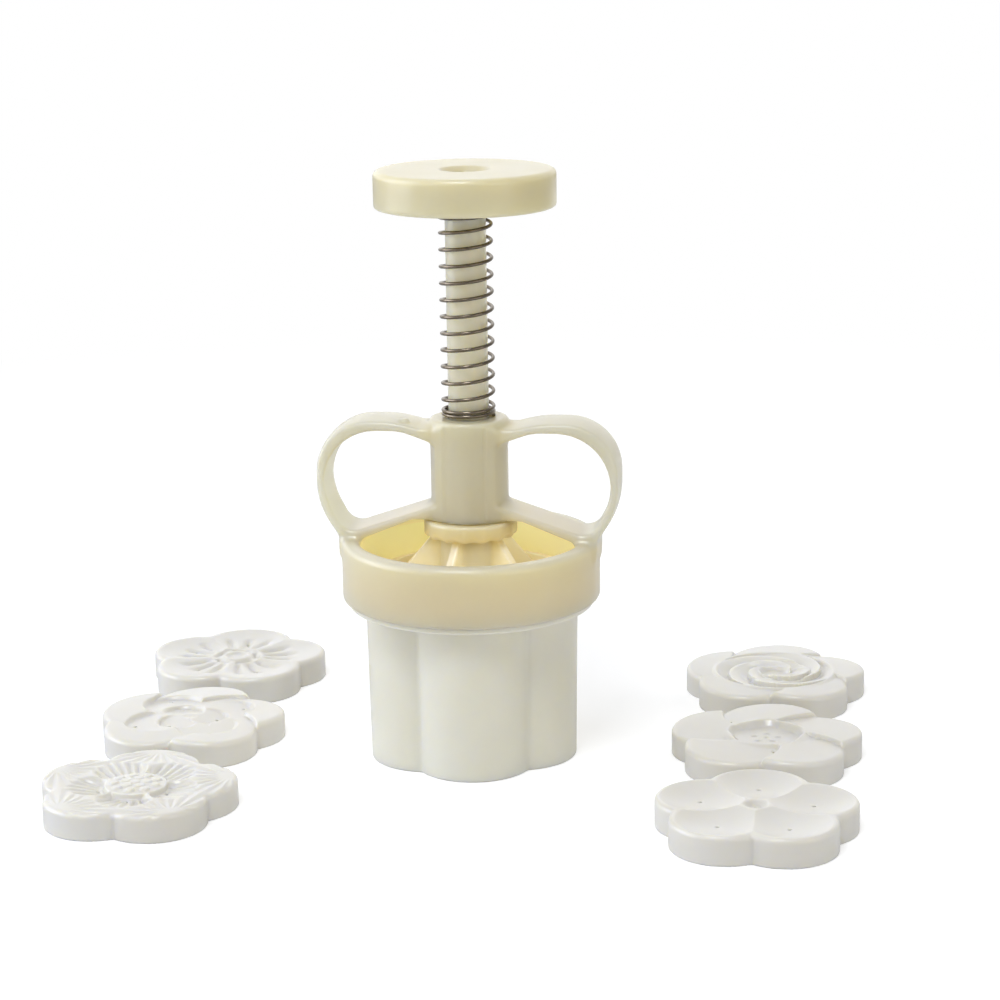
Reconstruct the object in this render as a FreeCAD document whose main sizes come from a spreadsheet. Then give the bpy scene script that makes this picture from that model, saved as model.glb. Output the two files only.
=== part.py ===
import FreeCAD, Part
import math
import os
import re
import Sketcher
from FreeCAD import Placement, Rotation, Vector

# Mooncake press, in millimetres. Z is the plunger's axis, up; the barrel's mouth stands on Z = 0.
# X runs through the two finger loops. Six loose stamps lie in two columns beside the press.

SIZES = {
    # petal barrel
    "petal_count": 5,
    "petal_distance": 12.4,
    "petal_turn": 9,
    "bore_lobe": 13.65,
    "barrel_wall_mouth": 1.8,
    "barrel_wall_top": 2.4,
    "petal_length": 39.6,
    "ring_height": 3.2,
    "ring_wall": 2.05,
    "neck_wall": 1.5,
    "neck_height": 5.6,
    # bayonet lock between the barrel's neck and the collar's floor
    "lug_count": 3,
    "lug_angle": 36,
    "lug_reach": 1.6,
    "lug_height": 2,
    "lug_room": 0.25,
    "lug_angle_room": 4,
    "lug_unlock_turn": 60,
    # grip: collar
    "collar_height": 16.1,
    "collar_floor": 2.5,
    "rim_width": 4.6,
    "rim_round": 1.7,
    "rim_inner_round": 1.3,
    "collar_foot_round": 2.2,
    "floor_corner_round": 0.8,
    # grip: guide tube
    "tube_wall": 4.8,
    "tube_rise": 5.3,
    "tube_length": 26.8,
    "tube_round": 0.9,
    # grip: finger loops and the bridge under them
    "loop_overhang": 5.9,
    "loop_depth": 14,
    "loop_drop": 0.1,
    "loop_round": 14,
    "side_wall": 1.9,
    "top_wall": 2.5,
    "saddle_reach": 2.4,
    "saddle_drop": 1.6,
    "crown_reach": 8.7,
    "crown_round": 28,
    "waist_height": 9.3,
    "waist_round": 20,
    "waist_foot_round": 7,
    "loop_root": 4,
    "bridge_overhang": 4.2,
    "bridge_rise": 4.6,
    "bridge_foot": 1.6,
    "bridge_corner_round": 4.5,
    "hole_waist_height": 11.4,
    "hole_waist_round": 6,
    "hole_round": 15,
    "hole_shoulder_reach": 7.2,
    "hole_shoulder_drop": 3.4,
    "hole_shoulder_round": 14,
    "band_round": 1.2,
    "hole_edge_round": 0.6,
    # plunger rod
    "rod_radius": 5.3,
    "rod_end_round": 0.3,
    "socket_depth": 4.2,
    "pilot_radius": 1.75,
    "pilot_depth": 12,
    # knob
    "knob_radius": 23.45,
    "knob_height": 9.7,
    "knob_wall": 2.2,
    "knob_round": 1.4,
    "knob_edge_round": 0.8,
    "knob_boss_wall": 4.15,
    "knob_rib": 1.6,
    "knob_rib_gap": 2.5,
    "knob_rib_count": 8,
    "recess_radius": 5,
    "recess_depth": 3.6,
    "recess_round": 1,
    # press head
    "plate_thickness": 3,
    "rod_floor": 1,
    "flange_radius": 12.3,
    "flange_lobe": 4,
    "flange_lobes": 15,
    "flange_height": 4.6,
    "hub_radius": 7.9,
    "gusset_thickness": 2.2,
    "gusset_reach": 21,
    "gusset_toe": 1.2,
    "gusset_shoulder": 1.6,
    "gusset_turn": 13,
    "peg_radius": 4.75,
    "peg_length": 4.6,
    "peg_round": 0.5,
    "peg_floor": 2,
    # screws
    "screw_radius": 1.7,
    "screw_length": 12,
    "screw_head": 3.1,
    "screw_head_height": 2.3,
    # return spring
    "spring_length": 54.8,
    "coil_radius": 6.6,
    "wire_radius": 0.47,
    "active_turns": 11,
    "closed_turns": 1.5,
    "closed_gap": 0.02,
    # loose stamps
    "stamp_height": 7.6,
    "stamp_plate": 3.6,
    "stamp_wall": 1.6,
    "boss_wall": 1.9,
    "peg_socket_room": 0.4,
    "vent_radius": 0.35,
    "stamp_column": 78,
    "stamp_row": 54,
    # clearances
    "running": 0.06,
    "seat": 0.05,
    "petal_clearance": 0.3,
    "barrel_clearance": 0.1,
    "stop_gap": 0.1,
}

# Heights and radii that follow from the sizes, as expressions on the sheet.
COLLAR_BASE = "(petal_length + ring_height)"
COLLAR_TOP = f"({COLLAR_BASE} + collar_height)"
WELL_FLOOR = f"({COLLAR_BASE} + collar_floor)"
TUBE_BASE = f"({COLLAR_TOP} + tube_rise)"
TUBE_TOP = f"({TUBE_BASE} + tube_length)"
LOOP_TOP = f"({TUBE_TOP} - loop_drop)"
KNOB_BASE = f"({TUBE_TOP} + spring_length)"
KNOB_TOP = f"({KNOB_BASE} + knob_height)"
PLATE_TOP = WELL_FLOOR
PLATE_BASE = f"({PLATE_TOP} - plate_thickness)"
PEG_TIP = f"({PLATE_BASE} - peg_length)"
HEAD_TOP = f"({TUBE_BASE} - stop_gap)"
FLANGE_BASE = f"({HEAD_TOP} - flange_height)"
ROD_BASE = f"({PLATE_TOP} + rod_floor)"
ROD_TOP = f"({KNOB_BASE} + socket_depth)"
HEAD_SCREW_SEAT = f"({ROD_BASE} - peg_floor)"
BORE_REACH = "(petal_distance + bore_lobe)"
NECK = f"({BORE_REACH} + neck_wall)"
NECK_HOLE = f"({NECK} + barrel_clearance)"
LUG_BASE = f"({WELL_FLOOR} + barrel_clearance)"
RIM_BORE = f"({NECK} + lug_reach + lug_room)"
COLLAR_RADIUS = f"({RIM_BORE} + rim_width)"
TUBE_RADIUS = "(rod_radius + running + tube_wall)"
LOOP_REACH = f"({COLLAR_RADIUS} + loop_overhang)"
ROD_SOCKET = "(rod_radius + seat)"
SCREW_HOLE = "(screw_radius + running)"
PEG_SOCKET = "(peg_radius + seat)"
STAMP_LOBE = "(bore_lobe - petal_clearance)"

# Each stamp's face: bowls (count, distance from the middle, bearing, radius, depth) and vent holes
# (count, distance from the middle, bearing of the first).
STAMPS = {
    "blossom": ([(5, 13.2, 90, 10.2, 1.5), (5, 5.6, 90, 1.5, 0.7)], (5, 14.2, 90)),
    "swirl": ([(4, 8.8, 34, 8, 1.5), (3, 3.6, 358, 4.4, 2.3)], (4, 15.5, 33)),
    "lotus": ([(5, 13.6, 54, 6, 1.4)], (5, 9.4, 54)),
    "rose": ([(1, 0, 0, 16.5, 1.5), (3, 4.6, 90, 3.8, 2.2)], (4, 12.4, 73)),
    "pinwheel": ([(5, 12.6, 110, 10.6, 0.7), (5, 4.5, 90, 6, 1.9)], (5, 13.4, 353)),
    "plain": ([(5, 13.6, 90, 10.4, 1.6), (1, 0, 0, 2.6, 1.4)], (5, 14.7, 90)),
}

doc = FreeCAD.newDocument("mooncake_press")
sheet = doc.addObject("Spreadsheet::Sheet", "sizes")


def fill_sheet():
    for row, (name, number) in enumerate(SIZES.items(), 1):
        sheet.set(f"A{row}", name)
        sheet.set(f"B{row}", str(number))
        sheet.setAlias(f"B{row}", name)
    doc.recompute()


def on_sheet(text):
    """The expression with each size's name pointing at its cell."""
    return re.sub(r"\b[a-z]\w*\b(?!\()", lambda name: "sizes." + name.group(0), str(text))


def worth(item, text):
    return float(item.evalExpression(on_sheet(text)))


def bind(item, prop, text):
    item.setExpression(prop, on_sheet(text))


# Sketches -------------------------------------------------------------------------------------


def new_body(name):
    body = doc.addObject("PartDesign::Body", name)
    body.Label = name
    return body


def new_sketch(body, name, plane="XY_Plane", lift=None):
    """A sketch on one of the body's own planes, lifted off it or not."""
    sketch = body.newObject("Sketcher::SketchObject", name)
    face = [part for part in body.Origin.OriginFeatures if part.Role == plane]
    sketch.AttachmentSupport = [(face[0], "")]
    sketch.MapMode = "FlatFace"
    if lift is not None:
        bind(sketch, "AttachmentOffset.Base.z", lift)
    doc.recompute()
    return sketch


def turn_about_axis(sketch, degrees):
    """Turns an upright sketch about the plunger's axis."""
    sketch.AttachmentOffset = Placement(Vector(), Rotation(Vector(0, 1, 0), 1))
    bind(sketch, "AttachmentOffset.Rotation.Angle", degrees)
    doc.recompute()


def pin_point(sketch, shape, point, x, y):
    """Ties a sketch point to expressions for its two coordinates."""
    for kind, text, axis in (("DistanceX", x, -2), ("DistanceY", y, -1)):
        if abs(worth(sketch, text)) < 1e-9:
            sketch.addConstraint(Sketcher.Constraint("PointOnObject", shape, point, axis))
            continue
        index = sketch.addConstraint(
            Sketcher.Constraint(kind, -1, 1, shape, point, worth(sketch, text))
        )
        bind(sketch, f"Constraints[{index}]", text)


def pin_radius(sketch, shape, radius):
    index = sketch.addConstraint(Sketcher.Constraint("Radius", shape, worth(sketch, radius)))
    bind(sketch, f"Constraints[{index}]", radius)


def draw_circle(sketch, x, y, radius):
    centre = Vector(worth(sketch, x), worth(sketch, y), 0)
    shape = sketch.addGeometry(Part.Circle(centre, Vector(0, 0, 1), worth(sketch, radius)))
    pin_point(sketch, shape, 3, x, y)
    pin_radius(sketch, shape, radius)


def corner_arc(before, corner, after, radius):
    """Tangent arc at a corner: its two ends, its curve and whether it runs with the outline."""
    back = (before - corner).normalize()
    ahead = (after - corner).normalize()
    half = back.getAngle(ahead) / 2
    centre = corner + (back + ahead).normalize() * (radius / math.sin(half))
    enter = corner + back * (radius / math.tan(half))
    leave = corner + ahead * (radius / math.tan(half))
    left_turn = (corner - before).cross(after - corner).z > 0
    first, last = (enter, leave) if left_turn else (leave, enter)
    angles = [math.atan2(point.y - centre.y, point.x - centre.x) for point in (first, last)]
    if angles[1] < angles[0]:
        angles[1] += 2 * math.pi
    arc = Part.ArcOfCircle(Part.Circle(centre, Vector(0, 0, 1), radius), *angles)
    return enter, leave, arc, left_turn


def draw_outline(sketch, corners):
    """A closed outline of straight sides. Each corner is (x, y) or (x, y, radius), as expressions."""
    spots = [Vector(worth(sketch, c[0]), worth(sketch, c[1]), 0) for c in corners]
    count = len(corners)
    enters, leaves, arcs = {}, {}, {}
    for i, corner in enumerate(corners):
        enters[i] = leaves[i] = spots[i]
        if len(corner) == 3:
            enters[i], leaves[i], arc, left = corner_arc(
                spots[i - 1], spots[i], spots[(i + 1) % count], worth(sketch, corner[2])
            )
            arcs[i] = (arc, left)
    sides = [
        sketch.addGeometry(Part.LineSegment(leaves[i], enters[(i + 1) % count]))
        for i in range(count)
    ]
    for i, corner in enumerate(corners):
        arriving, leaving = sides[i - 1], sides[i]
        if i not in arcs:
            sketch.addConstraint(Sketcher.Constraint("Coincident", arriving, 2, leaving, 1))
            pin_point(sketch, leaving, 1, corner[0], corner[1])
            continue
        arc, left = arcs[i]
        shape = sketch.addGeometry(arc)
        start, end = (1, 2) if left else (2, 1)
        tip = sketch.addGeometry(Part.Point(spots[i]), True)
        pin_point(sketch, tip, 1, corner[0], corner[1])
        sketch.addConstraint(Sketcher.Constraint("PointOnObject", tip, 1, arriving))
        sketch.addConstraint(Sketcher.Constraint("PointOnObject", tip, 1, leaving))
        sketch.addConstraint(Sketcher.Constraint("Tangent", arriving, 2, shape, start))
        sketch.addConstraint(Sketcher.Constraint("Tangent", shape, end, leaving, 1))
        pin_radius(sketch, shape, corner[2])


def draw_petals(sketch, distance, lobe, turn="0", number="petal_count"):
    """The outline of round lobes about the axis, meeting in valleys; unturned, one points along -Y."""
    count = int(worth(sketch, number))
    reach, radius = worth(sketch, distance), worth(sketch, lobe)
    step = 2 * math.pi / count
    half = valley_angle(reach, radius, step)
    lobes = []
    for i in range(count):
        angle = -math.pi / 2 + i * step + math.radians(worth(sketch, turn))
        centre = Vector(reach * math.cos(angle), reach * math.sin(angle), 0)
        circle = Part.Circle(centre, Vector(0, 0, 1), radius)
        lobes.append(sketch.addGeometry(Part.ArcOfCircle(circle, angle - half, angle + half)))
        pin_point(sketch, lobes[-1], 3, *polar(distance, f"(360 / {number} * {i} - 90 + {turn})"))
        pin_radius(sketch, lobes[-1], lobe)
    for i in range(count):
        sketch.addConstraint(
            Sketcher.Constraint("Coincident", lobes[i], 2, lobes[(i + 1) % count], 1)
        )


def valley_angle(reach, radius, step):
    """Half the angle that a lobe's arc spans, about the lobe's own centre."""
    valley = reach * math.cos(step / 2) + math.sqrt(radius**2 - (reach * math.sin(step / 2)) ** 2)
    return math.atan2(valley * math.sin(step / 2), valley * math.cos(step / 2) - reach)


def polar(distance, bearing):
    return f"({distance}) * cos({bearing})", f"({distance}) * sin({bearing})"


# Features -------------------------------------------------------------------------------------


def pad(body, sketch, length, name, both_ways=False, down=False):
    made = body.newObject("PartDesign::Pad", name)
    made.Profile = sketch
    bind(made, "Length", length)
    if both_ways:
        made.SideType = "Symmetric"
    made.Reversed = down
    doc.recompute()
    return made


def pocket(body, sketch, name, depth=None, up=False):
    """Cuts down from the sketch, or up, by a depth or right through."""
    whole = body.Shape.Volume
    made = body.newObject("PartDesign::Pocket", name)
    made.Profile = sketch
    if depth is None:
        made.Type = "ThroughAll"
    else:
        bind(made, "Length", depth)
    made.Reversed = up
    doc.recompute()
    refuse_empty_cut(body, whole, name)
    return made


def groove(body, sketch, name, angle="360"):
    """Cuts round the sketch's own upright axis, as far each way as the angle allows."""
    whole = body.Shape.Volume
    made = body.newObject("PartDesign::Groove", name)
    made.Profile = sketch
    made.ReferenceAxis = (sketch, ["V_Axis"])
    made.Midplane = True
    bind(made, "Angle", angle)
    doc.recompute()
    refuse_empty_cut(body, whole, name)
    return made


def refuse_empty_cut(body, whole, name):
    if not body.Shape.Volume < whole:
        raise RuntimeError(f"{name} cuts nothing")


def revolve(body, sketch, name, angle="360"):
    made = body.newObject("PartDesign::Revolution", name)
    made.Profile = sketch
    made.ReferenceAxis = (sketch, ["V_Axis"])
    made.Midplane = True
    bind(made, "Angle", angle)
    doc.recompute()
    return made


def around(body, feature, count, name):
    """Repeats a feature about the plunger's axis."""
    axis = [part for part in body.Origin.OriginFeatures if part.Role == "Z_Axis"]
    made = body.newObject("PartDesign::PolarPattern", name)
    made.Originals = [feature]
    made.Axis = (axis[0], [""])
    made.Angle = 360
    bind(made, "Occurrences", count)
    body.Tip = made
    doc.recompute()
    return made


def fillet(body, base, edges, radius, name):
    made = body.newObject("PartDesign::Fillet", name)
    made.Base = (base, edges)
    bind(made, "Radius", radius)
    doc.recompute()
    return made


def side_edges(feature, holes, lowest):
    """Names of the edges round the flat sides that face along Y: their holes' or their outline's."""
    edges = feature.Shape.Edges
    names = []
    for face in feature.Shape.Faces:
        if abs(face.normalAt(0, 0).y) < 0.99:
            continue
        for wire in face.Wires:
            if wire.isSame(face.OuterWire) == holes:
                continue
            found = [edge for edge in wire.Edges if edge.CenterOfMass.z > lowest]
            names += [f"Edge{i}" for i, edge in enumerate(edges, 1) for one in found if edge.isSame(one)]
    return names


# Barrel ---------------------------------------------------------------------------------------


def make_barrel():
    """Five-petalled mould barrel. Its neck passes the collar's floor and its lugs turn to lock on it."""
    body = new_body("petal_barrel")
    mouth = new_sketch(body, "mouth_outline")
    draw_petals(mouth, "petal_distance", "bore_lobe + barrel_wall_mouth", "petal_turn")
    top = new_sketch(body, "top_outline", lift="petal_length")
    draw_petals(top, "petal_distance", "bore_lobe + barrel_wall_top", "petal_turn")
    wall = body.newObject("PartDesign::AdditiveLoft", "petal_wall")
    wall.Profile = mouth
    wall.Sections = [top]
    wall.Ruled = True
    doc.recompute()
    profile = new_sketch(body, "neck_profile", "XZ_Plane")
    ring = f"({BORE_REACH} + ring_wall)"
    neck_top = f"({COLLAR_BASE} + neck_height)"
    draw_outline(
        profile,
        [
            ("0", "petal_length"),
            (ring, "petal_length"),
            (ring, COLLAR_BASE),
            (NECK, COLLAR_BASE),
            (NECK, neck_top),
            ("0", neck_top),
        ],
    )
    revolve(body, profile, "shoulder_and_neck")
    add_lugs(body)
    bore = new_sketch(body, "bore_outline")
    draw_petals(bore, "petal_distance", "bore_lobe", "petal_turn")
    pocket(body, bore, "petal_bore", up=True)
    return body


def add_lugs(body):
    lug = new_sketch(body, "lug_profile", "XZ_Plane")
    draw_outline(
        lug,
        [
            (f"{NECK} - neck_wall / 2", LUG_BASE),
            (f"{NECK} + lug_reach", LUG_BASE),
            (f"{NECK} + lug_reach", f"{LUG_BASE} + lug_height"),
            (f"{NECK} - neck_wall / 2", f"{LUG_BASE} + lug_height"),
        ],
    )
    one = revolve(body, lug, "bayonet_lug", "lug_angle")
    around(body, one, "lug_count", "bayonet_lugs")


# Grip -----------------------------------------------------------------------------------------


def loop_corners():
    """Corners of the loops' outer outline for the +X half, from the tube's saddle to the bridge."""
    root = f"{COLLAR_TOP} - loop_root"
    inside_rim = f"{COLLAR_RADIUS} - rim_width / 2"
    waist = f"({LOOP_TOP} - {COLLAR_TOP} - waist_height)"
    return [
        (f"{TUBE_RADIUS} + saddle_reach", f"{LOOP_TOP} - saddle_drop", "saddle_reach"),
        (f"{TUBE_RADIUS} + crown_reach", LOOP_TOP, "crown_round"),
        (LOOP_REACH, LOOP_TOP, f"min(loop_round; {waist} * 0.65)"),
        (LOOP_REACH, f"{COLLAR_TOP} + waist_height", "waist_round"),
        (COLLAR_RADIUS, COLLAR_TOP, "waist_foot_round"),
        (COLLAR_RADIUS, root),
        (inside_rim, root),
        (inside_rim, f"{COLLAR_TOP} - rim_round"),
        (f"{TUBE_RADIUS} + bridge_overhang", TUBE_BASE, "saddle_reach"),
    ]


def hole_corners():
    """Corners of the finger hole on the +X side. Its inner end lies inside the tube's wall."""
    inside = f"({LOOP_REACH} - side_wall)"
    ceiling = f"({LOOP_TOP} - top_wall)"
    waist = f"({COLLAR_TOP} + hole_waist_height)"
    in_tube = f"({TUBE_RADIUS} - tube_wall / 2)"
    return [
        (in_tube, f"{TUBE_BASE} + bridge_rise"),
        (f"{COLLAR_RADIUS} - bridge_foot", f"{COLLAR_TOP} + bridge_foot", "bridge_corner_round"),
        (inside, waist, "hole_waist_round"),
        (inside, ceiling, f"min(hole_round; ({ceiling} - {waist}) * 0.85)"),
        (f"{TUBE_RADIUS} + hole_shoulder_reach", ceiling, "hole_shoulder_round"),
        (in_tube, f"{ceiling} - hole_shoulder_drop"),
    ]


def mirrored(corners):
    return [(f"-({corner[0]})", *corner[1:]) for corner in reversed(corners)]


def make_grip():
    """One moulding: guide tube, two finger loops, the bridge that carries the tube, and the collar."""
    body = new_body("grip_body")
    add_loops(body)
    collar = new_sketch(body, "collar_profile", "XZ_Plane")
    draw_outline(
        collar,
        [
            (NECK_HOLE, COLLAR_BASE),
            (COLLAR_RADIUS, COLLAR_BASE, "collar_foot_round"),
            (COLLAR_RADIUS, COLLAR_TOP, "rim_round"),
            (RIM_BORE, COLLAR_TOP, "rim_inner_round"),
            (RIM_BORE, WELL_FLOOR, "floor_corner_round"),
            (NECK_HOLE, WELL_FLOOR),
        ],
    )
    revolve(body, collar, "collar")
    tube = new_sketch(body, "tube_profile", "XZ_Plane")
    draw_outline(
        tube,
        [
            ("0", TUBE_BASE),
            (TUBE_RADIUS, TUBE_BASE, "tube_round / 2"),
            (TUBE_RADIUS, TUBE_TOP, "tube_round"),
            ("0", TUBE_TOP),
        ],
    )
    revolve(body, tube, "guide_tube")
    bore = new_sketch(body, "bore_circle", lift=TUBE_TOP)
    draw_circle(bore, "0", "0", "rod_radius + running")
    pocket(body, bore, "rod_bore")
    cut_lug_notches(body)
    return body


def add_loops(body):
    outline = new_sketch(body, "loops_outline", "XZ_Plane")
    draw_outline(outline, loop_corners() + mirrored(loop_corners()))
    draw_outline(outline, hole_corners())
    draw_outline(outline, mirrored(hole_corners()))
    band = pad(body, outline, "loop_depth", "finger_loops", both_ways=True)
    above_rim = worth(outline, f"{COLLAR_TOP} - rim_round")
    outer = "min(band_round; side_wall * 0.62)"
    band = fillet(body, band, side_edges(band, False, above_rim), outer, "band_edges")
    inner = "min(hole_edge_round; side_wall * 0.32)"
    fillet(body, band, side_edges(band, True, above_rim), inner, "hole_edges")


def cut_lug_notches(body):
    """Openings in the collar's floor that let the barrel's lugs through before they are turned."""
    notch = new_sketch(body, "notch_profile", "XZ_Plane")
    reach = f"{NECK_HOLE} + lug_reach"
    draw_outline(
        notch,
        [
            (f"{NECK_HOLE} - lug_reach", f"{COLLAR_BASE} - collar_floor"),
            (reach, f"{COLLAR_BASE} - collar_floor"),
            (reach, f"{WELL_FLOOR} + lug_height"),
            (f"{NECK_HOLE} - lug_reach", f"{WELL_FLOOR} + lug_height"),
        ],
    )
    turn_about_axis(notch, "lug_unlock_turn")
    one = groove(body, notch, "lug_notch", "lug_angle + lug_angle_room")
    around(body, one, "lug_count", "lug_notches")


# Plunger --------------------------------------------------------------------------------------


def make_rod():
    """Solid rod with a pilot hole for a screw in each end."""
    body = new_body("plunger_rod")
    profile = new_sketch(body, "rod_profile", "XZ_Plane")
    draw_outline(
        profile,
        [
            ("0", f"{ROD_BASE} + pilot_depth"),
            ("pilot_radius", f"{ROD_BASE} + pilot_depth"),
            ("pilot_radius", ROD_BASE),
            ("rod_radius", ROD_BASE, "rod_end_round"),
            ("rod_radius", ROD_TOP, "rod_end_round"),
            ("pilot_radius", ROD_TOP),
            ("pilot_radius", f"{ROD_TOP} - pilot_depth"),
            ("0", f"{ROD_TOP} - pilot_depth"),
        ],
    )
    revolve(body, profile, "rod")
    return body


def make_knob():
    """Hollow palm button: a shell with a socket boss for the rod and ribs out to its rim."""
    body = new_body("knob")
    profile = new_sketch(body, "knob_profile", "XZ_Plane")
    boss = f"({ROD_SOCKET} + knob_boss_wall)"
    inner = "(knob_radius - knob_wall)"
    ceiling = f"({KNOB_TOP} - knob_wall)"
    recess_floor = f"({KNOB_TOP} - recess_depth)"
    draw_outline(
        profile,
        [
            (ROD_SOCKET, KNOB_BASE),
            (boss, KNOB_BASE, "knob_edge_round"),
            (boss, ceiling, "knob_edge_round"),
            (inner, ceiling, "knob_edge_round"),
            (inner, KNOB_BASE),
            ("knob_radius", KNOB_BASE, "knob_edge_round"),
            ("knob_radius", KNOB_TOP, "knob_round"),
            ("recess_radius", KNOB_TOP, "recess_round"),
            ("recess_radius", recess_floor),
            (SCREW_HOLE, recess_floor),
            (SCREW_HOLE, ROD_TOP),
            (ROD_SOCKET, ROD_TOP),
        ],
    )
    revolve(body, profile, "button")
    rib = new_sketch(body, "rib_outline", lift=ceiling)
    draw_outline(
        rib,
        [
            (f"{boss} - knob_boss_wall / 4", "-knob_rib / 2"),
            (f"{inner} + knob_wall / 4", "-knob_rib / 2"),
            (f"{inner} + knob_wall / 4", "knob_rib / 2"),
            (f"{boss} - knob_boss_wall / 4", "knob_rib / 2"),
        ],
    )
    one = pad(body, rib, "knob_height - knob_wall - knob_rib_gap", "rib", down=True)
    around(body, one, "knob_rib_count", "ribs")
    return body


def make_press_head():
    """Push plate with gussets up to a hub, the scalloped stop flange, and the peg that takes a stamp."""
    body = new_body("press_head")
    outline = new_sketch(body, "plate_outline", lift=PLATE_BASE)
    draw_petals(outline, "petal_distance", STAMP_LOBE, "petal_turn")
    pad(body, outline, "plate_thickness", "push_plate")
    hub = new_sketch(body, "hub_circle", lift=PLATE_TOP)
    draw_circle(hub, "0", "0", "hub_radius")
    pad(body, hub, f"{FLANGE_BASE} - {PLATE_TOP}", "hub")
    flange = new_sketch(body, "flange_outline", lift=FLANGE_BASE)
    draw_petals(flange, "(flange_radius - flange_lobe)", "flange_lobe", number="flange_lobes")
    pad(body, flange, "flange_height", "stop_flange")
    add_gussets(body)
    peg = new_sketch(body, "peg_profile", "XZ_Plane")
    draw_outline(
        peg,
        [
            ("0", PLATE_BASE),
            ("peg_radius", PLATE_BASE),
            ("peg_radius", PEG_TIP, "peg_round"),
            ("0", PEG_TIP),
        ],
    )
    revolve(body, peg, "peg")
    bore_head(body)
    return body


def add_gussets(body):
    """Sloping gussets out over the plate, each a little past the valley between two petals."""
    gusset = new_sketch(body, "gusset_outline", "XZ_Plane")
    draw_outline(
        gusset,
        [
            ("hub_radius / 2", PLATE_TOP),
            ("gusset_reach", PLATE_TOP),
            ("gusset_reach", f"{PLATE_TOP} + gusset_toe"),
            ("hub_radius + gusset_shoulder", FLANGE_BASE),
            ("hub_radius / 2", FLANGE_BASE),
        ],
    )
    turn_about_axis(gusset, "petal_turn - 90 + 180 / petal_count + gusset_turn")
    one = pad(body, gusset, "gusset_thickness", "gusset", both_ways=True)
    around(body, one, "petal_count", "gussets")


def bore_head(body):
    """The rod's socket from above, and the screw's sink and hole from below."""
    socket = new_sketch(body, "socket_circle", lift=HEAD_TOP)
    draw_circle(socket, "0", "0", ROD_SOCKET)
    pocket(body, socket, "rod_socket", depth=f"{HEAD_TOP} - {ROD_BASE}")
    sink = new_sketch(body, "screw_sink_circle", lift=PEG_TIP)
    draw_circle(sink, "0", "0", "screw_head + barrel_clearance")
    pocket(body, sink, "screw_sink", depth=f"{HEAD_SCREW_SEAT} - {PEG_TIP}", up=True)
    hole = new_sketch(body, "screw_hole_circle", lift=PEG_TIP)
    draw_circle(hole, "0", "0", SCREW_HOLE)
    pocket(body, hole, "screw_hole", up=True)


def make_screw(name, seat, head, tip):
    """Pan-head screw between the heights of its head's seat, its head's top and its tip."""
    body = new_body(name)
    profile = new_sketch(body, name + "_profile", "XZ_Plane")
    draw_outline(
        profile,
        [
            ("0", tip),
            ("screw_radius", tip),
            ("screw_radius", seat),
            ("screw_head", seat),
            ("screw_head", head),
            ("0", head),
        ],
    )
    revolve(body, profile, name + "_turned")
    return body


def make_rod_screws():
    """One screw holds the knob on the rod from above, and one the press head from below."""
    top = f"({KNOB_TOP} - recess_depth)"
    low = HEAD_SCREW_SEAT
    pair = doc.addObject("Part::Compound", "rod_screws")
    pair.Label = "rod_screws"
    pair.Links = [
        make_screw("knob_screw", top, f"{top} + screw_head_height", f"{top} - screw_length"),
        make_screw("head_screw", low, f"{low} - screw_head_height", f"{low} + screw_length"),
    ]
    doc.recompute()
    return pair


# Spring ---------------------------------------------------------------------------------------


def coil_height(turn, closed, active, flat, rise):
    """Height of the wire's middle after some turns. The pitch eases from closed to open and back."""
    ease = closed / 2
    pitch = (rise - flat * (2 * closed + active)) / active

    def opened(past):
        """Turns' worth of open pitch gained this far past the start of the easing."""
        part = min(max(past / ease, 0), 1)
        return ease * (part**3 - part**4 / 2) + max(past - ease, 0)

    end = closed - ease / 2
    gained = opened(turn - end) - opened(turn - end - active)
    return flat * turn + pitch * gained


def make_spring():
    """Compression spring of round wire with closed end turns, from the tube's top to the knob."""
    radius, wire, flat, rise, active, closed = (
        worth(sheet, text)
        for text in (
            "coil_radius",
            "wire_radius",
            "2 * wire_radius + closed_gap",
            "spring_length - 2 * wire_radius",
            "active_turns",
            "closed_turns",
        )
    )
    turns = active + 2 * closed
    points_per_turn = 16
    steps = round(turns * points_per_turn)
    points = []
    for i in range(steps + 1):
        turn = turns * i / steps
        around_axis = 2 * math.pi * turn
        height = coil_height(turn, closed, active, flat, rise)
        points.append(Vector(radius * math.cos(around_axis), radius * math.sin(around_axis), height))
    line = Part.BSplineCurve()
    line.interpolate(points)
    path = Part.Wire([line.toShape()])
    along = line.tangent(line.FirstParameter)[0]
    section = Part.Wire([Part.Circle(points[0], along, wire).toShape()])
    coil = doc.addObject("Part::Feature", "return_spring")
    coil.Label = "return_spring"
    coil.Shape = path.makePipeShell([section], True, True)
    coil.Placement = Placement(Vector(0, 0, worth(sheet, f"{TUBE_TOP} + wire_radius")), Rotation())
    expected = math.pi * wire**2 * path.Length
    if abs(coil.Shape.Volume - expected) > 0.01 * expected:
        raise RuntimeError("the coil's volume is not its section times its length")
    return coil


# Stamps ---------------------------------------------------------------------------------------


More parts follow.
